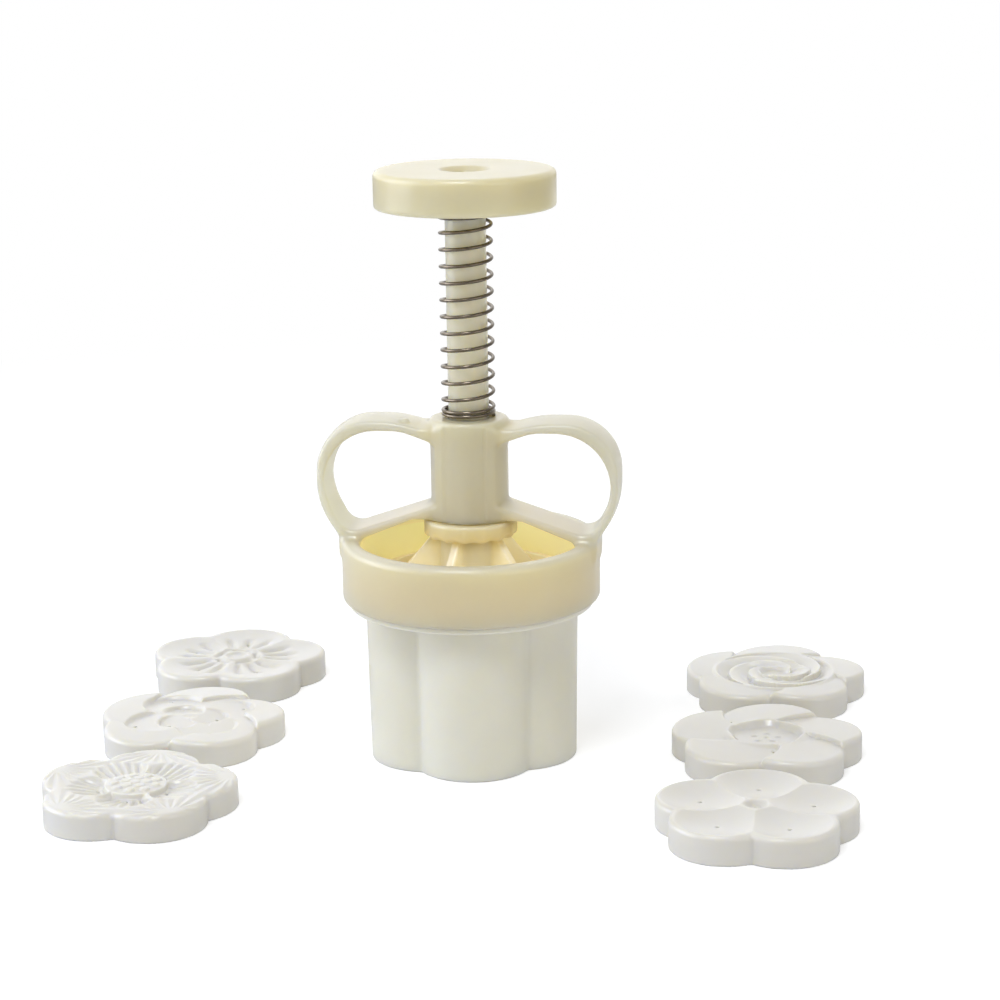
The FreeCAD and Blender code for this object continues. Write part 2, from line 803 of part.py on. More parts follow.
def make_stamp(name, bowls, vents, column, row):
    """Petal stamp: a hollowed face plate on a thin skirt, with a boss behind that pushes on the peg."""
    body = new_body(f"{name}_stamp")
    outline = new_sketch(body, "stamp_outline")
    draw_petals(outline, "petal_distance", STAMP_LOBE, "180")
    pad(body, outline, "stamp_height", "stamp_block")
    hollow = new_sketch(body, "hollow_outline")
    draw_petals(hollow, "petal_distance", f"{STAMP_LOBE} - stamp_wall", "180")
    draw_circle(hollow, "0", "0", f"{PEG_SOCKET} + boss_wall")
    pocket(body, hollow, "hollow_back", depth="stamp_height - stamp_plate", up=True)
    socket = new_sketch(body, "peg_socket_circle")
    draw_circle(socket, "0", "0", PEG_SOCKET)
    pocket(body, socket, "peg_socket", depth="peg_length + peg_socket_room", up=True)
    for i, bowl in enumerate(bowls):
        sink_bowl(body, f"bowl_{i}", *bowl)
    count, distance, bearing = vents
    holes = new_sketch(body, "vent_circle", lift="stamp_height")
    draw_circle(holes, *polar(distance, bearing), "vent_radius")
    one = pocket(body, holes, "vent")
    around(body, one, str(count), "vents")
    bind(body, "Placement.Base.x", f"{column} * stamp_column")
    off_centre = "petal_distance * (1 - cos(180 / petal_count)) / 2"
    bind(body, "Placement.Base.y", f"{row} * stamp_row - {off_centre}")
    doc.recompute()
    return body


def sink_bowl(body, name, count, distance, bearing, radius, depth):
    """Round bowls sunk in the stamp's face, spaced evenly about its middle."""
    profile = new_sketch(body, name + "_profile", "XZ_Plane")
    draw_outline(
        profile,
        [
            ("0", f"stamp_height - {depth}"),
            (f"{radius * 0.5}", f"stamp_height - {depth}", f"{radius}"),
            (f"{radius}", "stamp_height"),
            (f"{radius}", "stamp_height + stamp_wall"),
            ("0", "stamp_height + stamp_wall"),
        ],
    )
    across, back = polar(distance, bearing)
    bind(profile, "AttachmentOffset.Base.x", across)
    bind(profile, "AttachmentOffset.Base.z", f"-{back}")
    doc.recompute()
    one = groove(body, profile, name)
    if count > 1:
        around(body, one, str(count), name + "_ring")


def make_stamps():
    """Two columns of three, their rows centred on the press."""
    made = []
    for i, (name, (bowls, vents)) in enumerate(STAMPS.items()):
        column, row = (-1, 1)[i // 3], 1 - i % 3
        made.append(make_stamp(name, bowls, vents, column, row))
    return made


# Build and write ------------------------------------------------------------------------------


def check_and_write(parts):
    failed = [item.Name for item in doc.Objects if {"Invalid", "Error"} & set(item.State)]
    if failed:
        raise RuntimeError(f"failed: {failed}")
    os.makedirs("parts", exist_ok=True)
    for part in parts:
        if part.Shape.isNull() or not part.Shape.isValid():
            raise RuntimeError(f"{part.Label} is not a valid solid")
        part.Shape.exportStep(f"parts/{part.Label}.step")
        box = part.Shape.optimalBoundingBox(False, False)
        print(f"{part.Label}: {len(part.Shape.Solids)} solid, volume {part.Shape.Volume:.0f},",
              f"z {box.ZMin:.2f} to {box.ZMax:.2f}")


fill_sheet()
made = [make_barrel(), make_grip(), make_rod(), make_knob(), make_press_head()]
made += [make_rod_screws(), make_spring(), *make_stamps()]
doc.recompute()
check_and_write(made)
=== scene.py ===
import math

import bpy
import numpy as np
import openvdb
from mathutils import Matrix, Vector


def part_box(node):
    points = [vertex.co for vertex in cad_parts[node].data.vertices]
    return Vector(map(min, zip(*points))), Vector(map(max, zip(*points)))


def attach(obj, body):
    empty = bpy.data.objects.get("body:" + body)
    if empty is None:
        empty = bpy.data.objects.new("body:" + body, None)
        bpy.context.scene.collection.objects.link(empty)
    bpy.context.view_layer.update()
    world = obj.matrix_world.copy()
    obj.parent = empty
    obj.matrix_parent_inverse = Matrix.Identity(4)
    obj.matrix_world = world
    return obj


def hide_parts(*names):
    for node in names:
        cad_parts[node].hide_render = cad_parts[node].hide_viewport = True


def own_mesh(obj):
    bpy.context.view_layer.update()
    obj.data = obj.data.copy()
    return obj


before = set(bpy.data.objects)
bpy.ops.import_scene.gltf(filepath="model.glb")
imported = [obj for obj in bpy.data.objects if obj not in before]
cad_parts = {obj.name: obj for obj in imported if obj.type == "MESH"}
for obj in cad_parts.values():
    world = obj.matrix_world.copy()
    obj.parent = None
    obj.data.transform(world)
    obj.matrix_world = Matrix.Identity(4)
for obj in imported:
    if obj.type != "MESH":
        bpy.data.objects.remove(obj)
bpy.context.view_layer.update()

# Studio ---------------------------------------------------------------------------------------
# The set stands on a pale sheet that runs out of sight. A wide soft lamp on the left and a small one
# above the front give the light, two weaker ones lift the right and the back, and the room the rest.

camera = bpy.data.objects.new("camera", bpy.data.cameras.new("camera"))
camera.data.sensor_width = 36
camera.data.lens = 95.4
camera.data.clip_end = 20
camera_place = (0.1056, -0.6667, 0.2368)
camera_tilt, camera_turn, camera_roll = 0.2445, 0.1455, -0.015
camera.matrix_world = (
    Matrix.Translation(camera_place)
    @ Matrix.Rotation(camera_turn, 4, "Z")
    @ Matrix.Rotation(math.pi / 2 - camera_tilt, 4, "X")
    @ Matrix.Rotation(camera_roll, 4, "Z")
)
bpy.context.scene.collection.objects.link(camera)
bpy.context.scene.camera = camera
bpy.context.scene.view_settings.view_transform = "Standard"


def soft_lamp(name, place, width, watts, tint, mirrored=True):
    """A square soft box that faces the press, seen or not in what shines."""
    lamp = bpy.data.objects.new(name, bpy.data.lights.new(name, "AREA"))
    lamp.data.size = width
    lamp.data.energy = watts
    lamp.data.color = tint
    lamp.location = place
    facing = Vector((0, 0, 0.07)) - Vector(place)
    lamp.rotation_euler = facing.to_track_quat("-Z", "Y").to_euler()
    lamp.visible_glossy = mirrored
    bpy.context.scene.collection.objects.link(lamp)


soft_lamp("key_lamp", (-1.1, -0.15, 0.4), 0.9, 7.2, (0.9, 0.96, 1.1))
soft_lamp("front_lamp", (-0.1, -0.62, 1.1), 0.4, 6.5, (0.97, 1, 1.05))
soft_lamp("fill_lamp", (1.0, -0.7, 0.25), 0.9, 3, (1, 0.97, 0.9))
soft_lamp("back_lamp", (0.3, 1.0, 0.35), 0.7, 5, (1, 1, 1), mirrored=False)


def adder(tree):
    """A shorthand that adds a shader node to the tree, with its settings and the values of its sockets.

    A socket goes by its name, with a _ for each space, or by its number: i0 is the first.
    """

    def add(kind, settings=None, **sockets):
        node = tree.nodes.new("ShaderNode" + kind)
        for key, value in (settings or {}).items():
            setattr(node, key, value)
        for key, value in sockets.items():
            socket = node.inputs[int(key[1:])] if key[1:].isdigit() else node.inputs[key.replace("_", " ")]
            if isinstance(value, bpy.types.NodeSocket):
                tree.links.new(value, socket)
            else:
                socket.default_value = value
        return node

    return add


def new_material(name):
    material = bpy.data.materials.new(name)
    material.use_nodes = True
    material.node_tree.nodes.clear()
    return material, adder(material.node_tree)


def make_sheet():
    """A pale sheet: it takes the soft shadow, and is lit to white where the camera sees it."""
    material, add = new_material("pale_sheet")
    mottle = add("TexNoise", Vector=add("TexCoord").outputs["Object"], Scale=6, Detail=2)
    tint = add(
        "Mix",
        {"data_type": "RGBA"},
        i0=mottle.outputs["Fac"],
        i6=(0.60, 0.60, 0.60, 1),
        i7=(0.62, 0.62, 0.62, 1),
    )
    seen = add("BsdfDiffuse", Color=tint.outputs[2])
    lift = add("Emission", Color=(1, 1, 1, 1), Strength=0.52)
    lifted = add("AddShader", i0=seen.outputs[0], i1=lift.outputs[0])
    off = add("VectorMath", {"operation": "LENGTH"}, i0=add("TexCoord").outputs["Object"])
    far = add("MapRange", Value=off.outputs["Value"], From_Min=0.16, From_Max=0.6)
    white = add("Emission", Color=(1, 1, 1, 1), Strength=1.0)
    shown = add("MixShader", i0=far.outputs[0], i1=lifted.outputs[0], i2=white.outputs[0])
    bounced = add("BsdfDiffuse", Color=(0.8, 0.8, 0.8, 1))
    by_camera = add("LightPath").outputs["Is Camera Ray"]
    mix = add("MixShader", i0=by_camera, i1=bounced.outputs[0], i2=shown.outputs[0])
    add("OutputMaterial", Surface=mix.outputs[0])
    bpy.ops.mesh.primitive_grid_add(x_subdivisions=8, y_subdivisions=8, size=14)
    sheet = bpy.context.object
    sheet.name = "floor"
    sheet.data.materials.append(material)


def light_room():
    """Plain light all round. A gloss sees it brighter on the left and behind, and the camera sees white."""
    world = bpy.data.worlds.new("room")
    bpy.context.scene.world = world
    world.use_nodes = True
    tree = world.node_tree
    tree.nodes.clear()
    add = adder(tree)
    path = add("LightPath")
    bright_side = (-0.8, 0.45, 0.2)
    way = add("TexCoord").outputs["Generated"]
    side = add("VectorMath", {"operation": "DOT_PRODUCT"}, i0=way, i1=bright_side)
    gloss = add("MapRange", Value=side.outputs["Value"], From_Min=-0.5, From_Max=0.9, To_Min=0.4, To_Max=1.5)
    plain = add("Mix", i0=path.outputs["Is Glossy Ray"], i2=0.36, i3=gloss.outputs[0])
    strength = add("Mix", i0=path.outputs["Is Camera Ray"], i2=plain.outputs[0], i3=1.0)
    background = add("Background", Color=(1, 1, 1, 1), Strength=strength.outputs[0])
    add("OutputWorld", Surface=background.outputs[0])


make_sheet()
light_room()

# Petal barrel ---------------------------------------------------------------------------------
# The mould that shapes the cake: a thin five-petalled wall of frosted white polypropylene, open at
# both ends, with a round shoulder under the collar and a neck whose three lugs lock on its floor.

MM = 0.001
PETALS = 5
STEP = 2 * math.pi / PETALS
PETAL_DISTANCE = 12.4
BORE_LOBE = 13.65
FRONT_PETAL = math.radians(-81)


def petal_reach(bearing, lobe, soften):
    """How far the petals' outline reaches from the axis, with softened valleys."""
    off = np.abs((bearing - FRONT_PETAL + STEP / 2) % STEP - STEP / 2)
    near, far = (
        PETAL_DISTANCE * np.cos(turn) + np.sqrt(lobe**2 - (PETAL_DISTANCE * np.sin(turn)) ** 2)
        for turn in (off, STEP - off)
    )
    overlap = np.clip(soften - np.abs(near - far), 0, None)
    return near + overlap**2 / (4 * soften)


def quarter(start, corner, end, steps=6):
    """Points of a soft bend from start to end, pulled towards the corner between them."""
    a, b, c = (np.array(point, float) for point in (start, corner, end))
    share = np.linspace(0, 1, steps + 1)[:, None]
    return list((1 - share) ** 2 * a + 2 * share * (1 - share) * b + share**2 * c)


def finished(mesh, name, material, sharp=35):
    """A mesh made into a piece: shaded smooth, with creases where its faces meet steeply."""
    mesh.shade_smooth()
    mesh.set_sharp_from_angle(angle=math.radians(sharp))
    mesh.materials.append(material)
    piece = bpy.data.objects.new(name, mesh)
    bpy.context.scene.collection.objects.link(piece)
    return piece


def looped(name, rings):
    """A mesh over closed rings of points, in millimetres, the last ring joined to the first."""
    rings = np.asarray(rings)
    count, around = rings.shape[:2]
    index = np.arange(count * around).reshape(count, around)
    up, on = np.roll(index, -1, 0), np.roll(index, -1, 1)
    faces = np.stack([index, on, np.roll(up, -1, 1), up], axis=2).reshape(-1, 4)
    mesh = bpy.data.meshes.new(name)
    mesh.from_pydata((rings.reshape(-1, 3) * MM).tolist(), [], faces.tolist())
    return mesh


def moulded_plastic(name, pale, warm, roughness, depth, painted_glow_well=None, thin=None):
    """Milky plastic: its colour wanders with its thickness, its skin is finely grained, and a well gets a
    painted glow.

    The painted glow well is (reach, low, high, glow colour): what lies within that reach of the axis,
    between those heights, is tinted towards the glow colour and emits light, a painted glow standing in for
    light through the wall.
    The thin part is (reach, low, paler): what lies beyond and above.
    """
    material, add = new_material(name)
    painted_glow_strength = 0.12
    place = add("TexCoord").outputs["Object"]
    cloud = add("TexNoise", Vector=place, Scale=38, Detail=3, Roughness=0.55)
    spread = add("MapRange", Value=cloud.outputs["Fac"], From_Min=0.3, From_Max=0.7)
    tint = add("Mix", {"data_type": "RGBA"}, i0=spread.outputs[0], i6=(*pale, 1), i7=(*warm, 1))
    flat = add("VectorMath", {"operation": "MULTIPLY"}, i0=place, i1=(1, 1, 0))
    off = add("VectorMath", {"operation": "LENGTH"}, i0=flat.outputs[0]).outputs["Value"]
    up = add("SeparateXYZ", Vector=place).outputs["Z"]

    def overlap(*ramps):
        """How far a place is past every one of some ramps, each (value, start, end)."""
        share = 1.0
        for value, start, end in ramps:
            ramp = add("MapRange", Value=value, From_Min=start, From_Max=end).outputs[0]
            share = add("Math", {"operation": "MULTIPLY"}, i0=ramp, i1=share).outputs[0]
        return share

    if thin:
        reach, low, paler = thin
        share = overlap((off, reach, reach + 0.006), (up, low, low + 0.0015))
        tint = add("Mix", {"data_type": "RGBA"}, i0=share, i6=tint.outputs[2], i7=(*paler, 1))
    # Painted glow: in the well the colour is tinted towards a bright glow colour and the surface emits
    # light, standing in for light that comes through the wall.
    if painted_glow_well:
        reach, low, high, painted_glow_colour = painted_glow_well
        share = overlap((off, reach + 0.0012, reach), (up, low, low + 0.001), (up, high, high - 0.003))
        tint = add("Mix", {"data_type": "RGBA"}, i0=share, i6=tint.outputs[2], i7=(*painted_glow_colour, 1))
        painted_glow_emission = add("Math", {"operation": "MULTIPLY"}, i0=share, i1=painted_glow_strength)
    skin = add("TexNoise", Vector=place, Scale=2600, Detail=2)
    sink = add("TexNoise", Vector=place, Scale=150, Detail=1)
    fine = add("Bump", Height=skin.outputs["Fac"], Strength=0.12, Distance=0.00004)
    soft = add("Bump", Height=sink.outputs["Fac"], Strength=0.08, Distance=0.0006, Normal=fine.outputs[0])
    dull = add("MapRange", Value=cloud.outputs["Fac"], To_Min=roughness, To_Max=roughness + 0.08)
    body = add(
        "BsdfPrincipled",
        Base_Color=tint.outputs[2],
        Roughness=dull.outputs[0],
        Normal=soft.outputs[0],
        IOR=1.5,
        Coat_Weight=0.5,
        Coat_Roughness=0.24,
        Subsurface_Weight=1.0,
        Subsurface_Radius=(1, 0.92, 0.6),
        Subsurface_Scale=depth,
    )
    # The well's painted glow: the surface emits light in the glow colour.
    if painted_glow_well:
        body.inputs["Emission Color"].default_value = (*painted_glow_colour, 1)
        material.node_tree.links.new(painted_glow_emission.outputs[0], body.inputs["Emission Strength"])
    add("OutputMaterial", Surface=body.outputs[0])
    return material


def make_barrel():
    low, high = (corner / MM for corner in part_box("petal_barrel"))
    collar_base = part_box("grip_body")[0].z / MM
    wall_mouth, wall_top, edge = 1.8, 2.4, 0.6
    rim, rim_top, petal_top = 32.3, collar_base, collar_base - 1.6
    neck, lug_reach, lug_low, lug_high = 27.55, 1.6, collar_base + 2.6, collar_base + 4.6
    lug_count, lug_half_angle, lug_slope = 3, 18.6, 1.2
    mouth, top = BORE_LOBE + wall_mouth, BORE_LOBE + wall_top
    bearing = np.linspace(0, 2 * math.pi, 720, endpoint=False)
    off_lug = np.abs((bearing + math.pi / lug_count) % (2 * math.pi / lug_count) - math.pi / lug_count)
    lug = np.clip((math.radians(lug_half_angle) - off_lug) / math.radians(lug_slope), 0, 1)

    def petals(points):
        """Stations with the petals' outline, from points of (petal radius, height)."""
        return [(z, petal_reach(bearing, lobe, 1.1)) for lobe, z in points]

    def circles(points):
        """Round stations, from points of (radius, height)."""
        return [(z, np.full_like(bearing, radius)) for radius, z in points]

    def lugs(points):
        """Stations round the neck's lugs, from points of (lug's reach, height)."""
        return [(z, neck + reach * lug) for reach, z in points]

    wall = list(zip(np.linspace(mouth, top, 12), np.linspace(low.z + edge, petal_top - 0.1, 12)))
    bore = [(BORE_LOBE, z) for z in np.linspace(high.z - 0.4, low.z + edge, 12)]
    stations = (
        petals(quarter((mouth - edge, low.z), (mouth, low.z), (mouth, low.z + edge)))
        + petals(wall[1:])
        + petals([(top - 0.15, petal_top)])
        + circles(quarter((rim - 0.5, petal_top + 0.02), (rim, petal_top), (rim, petal_top + 0.5)))
        + circles(quarter((rim, rim_top - 0.3), (rim, rim_top), (rim - 0.3, rim_top)))
        + circles([(neck, rim_top), (neck, lug_low - 0.05)])
        + lugs(quarter((lug_reach - 0.3, lug_low), (lug_reach, lug_low), (lug_reach, lug_low + 0.3)))
        + lugs(quarter((lug_reach, lug_high - 0.4), (lug_reach, lug_high), (lug_reach - 0.4, lug_high)))
        + circles([(neck, lug_high + 0.05)])
        + circles(quarter((neck, high.z - 0.4), (neck, high.z), (neck - 0.4, high.z)))
        + petals(quarter((BORE_LOBE + 0.4, high.z), (BORE_LOBE, high.z), (BORE_LOBE, high.z - 0.4)))
        + petals(bore[1:])
        + petals(quarter((BORE_LOBE, low.z + edge), (BORE_LOBE, low.z), (BORE_LOBE + edge, low.z))[1:])
    )
    rings = [
        np.stack([reach * np.cos(bearing), reach * np.sin(bearing), np.full_like(bearing, z)], axis=1)
        for z, reach in stations
    ]
    plastic = moulded_plastic(
        "frosted_plastic",
        (0.82, 0.79, 0.68),
        (0.80, 0.76, 0.62),
        roughness=0.36,
        depth=0.0035,
        # painted glow: the barrel's neck and bore inside the collar's well are tinted yellow and emit light,
        # standing in for light through the collar wall
        painted_glow_well=(0.0305, 0.0435, 0.06, (1.0, 0.82, 0.5)),
    )
    barrel = finished(looped("petal_barrel_moulding", rings), "petal_barrel_moulding", plastic)
    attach(barrel, "press_body")
    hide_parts("petal_barrel")


make_barrel()

# Grip -----------------------------------------------------------------------------------------
# The part that is held: one ivory moulding of the collar, two finger loops, the bridge under them
# and the tube that guides the plunger. Its pieces run into each other in soft fillets.


class Block:
    """A grid of points, in millimetres, in which a moulding is shaped as distances to its surface."""

    def __init__(self, low, high, step):
        self.start = np.array(low, float) - 2 * step
        self.step = step
        ends = [np.arange(a, b + 2 * step, step) for a, b in zip(self.start, high)]
        self.x = ends[0][:, None, None]
        self.y = ends[1][None, :, None]
        self.z = ends[2][None, None, :]
        self.reach = np.hypot(self.x, self.y)

    def turned(self, outline):
        """Distance to an outline of (radius, height) corners turned about the upright axis."""
        reach = self.reach[:, :, 0]
        radii = np.arange(0, reach.max() + self.step, self.step / 2)
        section = outline_distance(rounded(outline), radii[:, None], self.z[0])
        return np.stack([np.interp(reach, radii, column) for column in section.T], axis=2)

    def cast(self, name, distance):
        """The surface of the shaped distances as a mesh, in metres."""
        grid = openvdb.FloatGrid(4 * self.step)
        grid.copyFromArray(np.ascontiguousarray(distance, dtype=np.float32))
        points, faces = grid.convertToQuads(0)
        mesh = bpy.data.meshes.new(name)
        mesh.from_pydata(((points * self.step + self.start) * MM).tolist(), [], faces.tolist())
        return mesh


def rounded(corners, arc_steps=10):
    """The points of a closed outline whose corners, (x, y) or (x, y, radius), are rounded by arcs."""
    spots = np.array([corner[:2] for corner in corners], float)
    points = []
    for i, corner in enumerate(corners):
        if len(corner) == 2:
            points.append(spots[i])
            continue
        back, ahead = spots[i - 1] - spots[i], spots[(i + 1) % len(spots)] - spots[i]
        back, ahead = back / np.linalg.norm(back), ahead / np.linalg.norm(ahead)
        half = math.acos(np.clip(back @ ahead, -1, 1)) / 2
        middle = (back + ahead) / np.linalg.norm(back + ahead)
        centre = spots[i] + middle * corner[2] / math.sin(half)
        first = spots[i] + back * corner[2] / math.tan(half) - centre
        last = spots[i] + ahead * corner[2] / math.tan(half) - centre
        sweep = math.pi - 2 * half
        side = np.sign(first[0] * last[1] - first[1] * last[0])
        for turn in np.linspace(0, side * sweep, arc_steps + 1):
            c, s = math.cos(turn), math.sin(turn)
            points.append(centre + (first[0] * c - first[1] * s, first[0] * s + first[1] * c))
    return np.array(points)


def outline_distance(outline, x, y):
    """Distance from each point to a closed outline, negative inside it."""
    nearest = np.full(np.broadcast(x, y).shape, np.inf)
    inside = np.zeros(nearest.shape, bool)
    for (ax, ay), (bx, by) in zip(outline, np.roll(outline, -1, 0)):
        ex, ey = bx - ax, by - ay
        share = np.clip(((x - ax) * ex + (y - ay) * ey) / max(ex * ex + ey * ey, 1e-12), 0, 1)
        nearest = np.minimum(nearest, (x - ax - share * ex) ** 2 + (y - ay - share * ey) ** 2)
        if ey:
            inside ^= ((ay > y) != (by > y)) & (x < ax + (y - ay) * ex / ey)
    return np.where(inside, -1, 1) * np.sqrt(nearest)


def thick(flat, across, half, edge):
    """A flat outline's distance given a thickness, with its edges rounded."""
    a, b = flat + edge, np.abs(across) - half + edge
    return np.minimum(np.maximum(a, b), 0) + np.hypot(np.maximum(a, 0), np.maximum(b, 0)) - edge


def melt(a, b, fillet):
    """Two forms joined with a fillet between them."""
    overlap = np.clip(fillet - np.abs(a - b), 0, None)
    return np.minimum(a, b) - overlap**2 / (4 * fillet)


def cut(a, b, edge):
    """One form cut out of another, with the edge between them eased."""
    return -melt(-a, b, edge)


def make_grip():
    low, high = (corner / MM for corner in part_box("grip_body"))
    base, tube_top, reach = low.z, high.z, high.x
    collar_top, floor_top, tube_base = base + 16.1, base + 2.5, base + 21.4
    collar, rim_bore, neck_hole = 34, 29.4, 27.65
    tube, bore = 10.16, 5.36
    notch_bearing, notch_half_angle, notch_deep, notch_height = 60, 20, 1.6, 4
    loop_top, side_wall, top_wall, half_depth = tube_top - 0.1, 2.4, 3, 7
    outer = [
        (tube + 2.4, loop_top - 1.6, 2.4),
        (tube + 8.7, loop_top, 28),
        (reach, loop_top, 14),
        (reach, collar_top + 9.3, 20),
        (collar, collar_top, 7),
        (collar - 0.3, collar_top - 4),
        (collar - 2.3, collar_top - 4),
        (collar - 2.3, collar_top - 1.7),
        (tube + 4.2, tube_base, 2.4),
    ]
    hole = [
        (tube - 2.4, tube_base + 4.6),
        (collar - 1.6, collar_top + 1.6, 4.5),
        (reach - side_wall, collar_top + 11.4, 18),
        (reach - side_wall, loop_top - top_wall, 14),
        (tube + 7.2, loop_top - top_wall, 14),
        (tube - 2.4, loop_top - top_wall - 3.4),
    ]
    block = Block(low, high, step=0.47)
    side = np.abs(block.x[:, :, 0])
    up = block.z[0]
    outside, inside = (
        outline_distance(rounded(corners), side, up)[:, None, :]
        for corners in (outer + [(0, tube_base), (0, loop_top - 1.6)], hole)
    )
    crown = 0.45 * (block.y / half_depth) ** 2
    strap = thick(np.maximum(outside + crown, -inside + 0.4 * crown), block.y, half_depth, 0.85)
    pipe = block.turned([(0, tube_base), (tube, tube_base, 0.5), (tube, tube_top, 0.9), (0, tube_top)])
    ring = block.turned(
        [
            (neck_hole, base),
            (collar, base, 1.2),
            (collar, collar_top, 1.7),
            (rim_bore, collar_top, 1.3),
            (rim_bore, floor_top, 0.8),
            (neck_hole, floor_top),
        ]
    )
    notch_turn = np.arctan2(block.y, block.x) - math.radians(notch_bearing)
    off_notch = np.abs((notch_turn + math.pi / 3) % (2 * math.pi / 3) - math.pi / 3)
    notch = (off_notch - math.radians(notch_half_angle)) * block.reach
    notch = np.maximum(notch, block.reach - neck_hole - notch_deep)
    notch = np.maximum(notch, np.abs(block.z - base) - notch_height)
    strip_place, strip_half, strip_rise, strip_end = 6.6, 1, 0.3, 1.2
    strips = np.maximum(np.abs(np.abs(block.x) - strip_place) - strip_half, block.reach - tube - strip_rise)
    tube_half = (tube_top - tube_base) / 2
    strips = np.maximum(strips, np.abs(block.z - tube_base - tube_half) - tube_half + strip_end)
    shape = melt(strap, melt(pipe, strips, 0.5), 2.2)
    gate_x, gate_y, gate_radius, gate_half = -tube - 6.4, -3.2, 1.3, 0.6
    gate = np.hypot(block.x - gate_x, block.y - gate_y) - gate_radius
    shape = melt(shape, np.maximum(gate, np.abs(block.z - loop_top + gate_half) - gate_half), 0.6)
    shape = melt(shape, ring, 2.6)
    shape = cut(shape, notch, 0.3)
    shape = cut(shape, block.reach - bore + 0 * block.z, 0.5)
    plastic = moulded_plastic(
        "ivory_plastic",
        (0.625, 0.568, 0.40),
        (0.60, 0.533, 0.355),
        roughness=0.28,
        depth=0.016,
        # painted glow: the collar's well walls are tinted yellow and emit light, standing in for light that
        # comes through the wall
        painted_glow_well=(0.0295, 0.0428, 0.0588, (1.0, 0.82, 0.5)),
        thin=(0.0115, 0.0575, (0.53, 0.505, 0.41)),
    )
    grip = finished(block.cast("grip_moulding", shape), "grip_moulding", plastic, sharp=50)
    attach(grip, "press_body")
    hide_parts("grip_body")


make_grip()

# Return spring --------------------------------------------------------------------------------
# A compression spring of round drawn steel wire. Its end turns are closed: the lowest sits on the
# guide tube's rim and the highest under the knob.


def spring_tree(material):
    """A wire that climbs about an axis, flat in its closed end turns and open between them."""
    tree = bpy.data.node_groups.new("coil", "GeometryNodeTree")
    for name, value in (
        ("Coil Radius", 0.0066),
        ("Wire Radius", 0.00047),
        ("Free Length", 0.0548),
        ("Open Turns", 11.5),
        ("Closed Turns", 2.0),
        ("Points a Turn", 48.0),
        ("Seat Height", 0.091),
    ):
        tree.interface.new_socket(name, in_out="INPUT", socket_type="NodeSocketFloat").default_value = value
    tree.interface.new_socket("Wire", in_out="OUTPUT", socket_type="NodeSocketGeometry")
    given = tree.nodes.new("NodeGroupInput").outputs

    def add(kind, *values, operation=None):
        node = tree.nodes.new(kind)
        if operation:
            node.operation = operation
        for socket, value in zip(node.inputs, values):
            if isinstance(value, bpy.types.NodeSocket):
                tree.links.new(value, socket)
            elif value is not None:
                socket.default_value = value
        return node.outputs

    def math_of(operation, *values):
        return add("ShaderNodeMath", *values, operation=operation)[0]

    closed, open_turns, wire = given["Closed Turns"], given["Open Turns"], given["Wire Radius"]
    turns = math_of("MULTIPLY_ADD", closed, 2.0, open_turns)
    last = math_of("ROUND", math_of("MULTIPLY", turns, given["Points a Turn"]))
    turn = math_of("DIVIDE", add("GeometryNodeInputIndex")[0], given["Points a Turn"])
    flat = math_of("MULTIPLY", wire, 2.04)
    rise = math_of("MULTIPLY_ADD", wire, -2.0, given["Free Length"])
    to_open = math_of("SUBTRACT", rise, math_of("MULTIPLY", flat, turns))
    pitch = math_of("DIVIDE", to_open, open_turns)
    ease = math_of("DIVIDE", closed, 2.0)
    end = math_of("MULTIPLY", closed, 0.75)

    def opened(past):
        """Turns of open pitch gained this far past the start of the easing."""
        share = math_of("MINIMUM", math_of("MAXIMUM", math_of("DIVIDE", past, ease), 0.0), 1.0)
        cube = math_of("POWER", share, 3.0)
        bend = math_of("SUBTRACT", cube, math_of("MULTIPLY", math_of("POWER", share, 4.0), 0.5))
        beyond = math_of("MAXIMUM", math_of("SUBTRACT", past, ease), 0.0)
        return math_of("MULTIPLY_ADD", ease, bend, beyond)

    past_end = math_of("SUBTRACT", turn, end)
    gained = math_of("SUBTRACT", opened(past_end), opened(math_of("SUBTRACT", past_end, open_turns)))
    climbed = math_of("MULTIPLY_ADD", turn, flat, math_of("MULTIPLY", gained, pitch))
    height = math_of("ADD", math_of("ADD", climbed, wire), given["Seat Height"])
    angle = math_of("MULTIPLY", turn, 2 * math.pi)
    across = math_of("MULTIPLY", math_of("COSINE", angle), given["Coil Radius"])
    along = math_of("MULTIPLY", math_of("SINE", angle), given["Coil Radius"])
    place = add("ShaderNodeCombineXYZ", across, along, height)[0]
    line = add("GeometryNodeMeshLine", math_of("ADD", last, 1.0))[0]
    bent = add("GeometryNodeSetPosition", line, None, place)[0]
    path = add("GeometryNodeMeshToCurve", bent)[0]
    section = tree.nodes.new("GeometryNodeCurvePrimitiveCircle")
    section.inputs["Resolution"].default_value = 18
    tree.links.new(wire, section.inputs["Radius"])
    tube = tree.nodes.new("GeometryNodeCurveToMesh")
    tree.links.new(path, tube.inputs["Curve"])
    tree.links.new(section.outputs[0], tube.inputs["Profile Curve"])
    tube.inputs["Fill Caps"].default_value = True
    solid = add("GeometryNodeRealizeInstances", tube.outputs[0])[0]
    painted = add("GeometryNodeSetMaterial", solid, None, material)[0]
    tree.links.new(painted, tree.nodes.new("NodeGroupOutput").inputs[0])
    return tree


